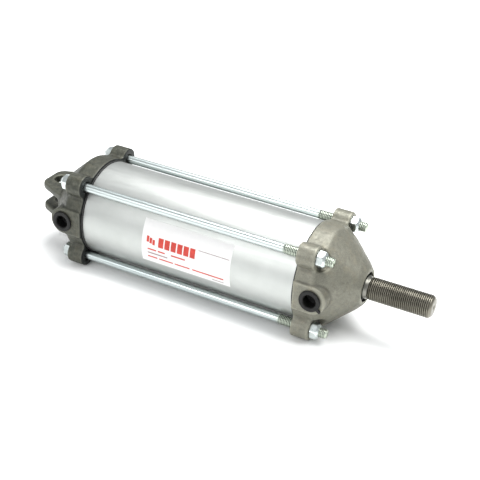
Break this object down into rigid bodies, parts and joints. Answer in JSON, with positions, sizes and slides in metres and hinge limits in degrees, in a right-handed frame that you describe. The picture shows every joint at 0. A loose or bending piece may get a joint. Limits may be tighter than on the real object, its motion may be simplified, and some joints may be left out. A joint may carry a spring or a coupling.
{
  "type": "pneumatic cylinder",
  "caption": "Double-acting tie-rod air cylinder with cast heads, forked rear mount, side ports with shipping plugs, and a rod with a long threaded end.",
  "frame": {"origin": "centre of the clevis pin hole on the cylinder's axis", "axes": "+X along the rod towards its threaded end, +Z along the clevis pin hole, ports face -Y"},
  "size_m": [0.421, 0.1023, 0.1],
  "materials": {
    "cast_aluminium": "sand-cast, satin",
    "tube_aluminium": "satin anodised",
    "zinc_rod": "bright zinc plate",
    "zinc_nut": "bright zinc plate",
    "label_foil": "printed white foil",
    "plug_plastic": "moulded black",
    "rod_steel": "ground rod with cut thread",
    "piston_aluminium": "machined",
    "plain_steel": "phosphated",
    "bronze": "sintered bronze",
    "wear_plastic": "acetal",
    "seal_rubber": "moulded nitrile"
  },
  "bodies": {
    "barrel": {"cylinder_tube": "tube_aluminium", "front_head": "cast_aluminium", "front_nut_bottom_far": "zinc_nut", "front_nut_bottom_near": "zinc_nut", "front_nut_top_far": "zinc_nut", "front_nut_top_near": "zinc_nut", "front_tube_gasket": "seal_rubber", "label": "label_foil", "rear_head": "cast_aluminium", "rear_nut_bottom_far": "zinc_nut", "rear_nut_bottom_near": "zinc_nut", "rear_nut_top_far": "zinc_nut", "rear_nut_top_near": "zinc_nut", "rear_tube_gasket": "seal_rubber", "retaining_ring": "plain_steel", "rod_bushing": "bronze", "rod_cup_seal": "seal_rubber", "rod_wiper": "seal_rubber", "seal_washer": "plain_steel", "tie_rod_bottom_far": "zinc_rod", "tie_rod_bottom_near": "zinc_rod", "tie_rod_top_far": "zinc_rod", "tie_rod_top_near": "zinc_rod"},
    "piston_seals": {"rear_piston_cup": "seal_rubber", "front_piston_cup": "seal_rubber", "piston_wear_ring": "wear_plastic"},
    "piston_and_rod": {"piston": "piston_aluminium", "piston_rod": "rod_steel", "piston_nut": "plain_steel", "piston_washer": "plain_steel", "rod_o_ring": "seal_rubber"},
    "rear_plug": {"rear_port_plug": "plug_plastic"},
    "front_plug": {"front_port_plug": "plug_plastic"}
  },
  "joints": [
    {"name": "rod_slide", "type": "slide", "parent": "barrel", "child": "piston_seals", "axis": [1, 0, 0], "range_m": [0, 0.2032]},
    {"name": "rod_turn", "type": "hinge", "parent": "piston_seals", "child": "piston_and_rod", "pos_m": [0.07, 0, 0], "axis": [1, 0, 0], "continuous": true},
    {"name": "rear_plug_pull", "type": "slide", "parent": "barrel", "child": "rear_plug", "axis": [0, -1, 0], "range_m": [0, 0.025]},
    {"name": "front_plug_pull", "type": "slide", "parent": "barrel", "child": "front_plug", "axis": [0, -1, 0], "range_m": [0, 0.025]}
  ]
}
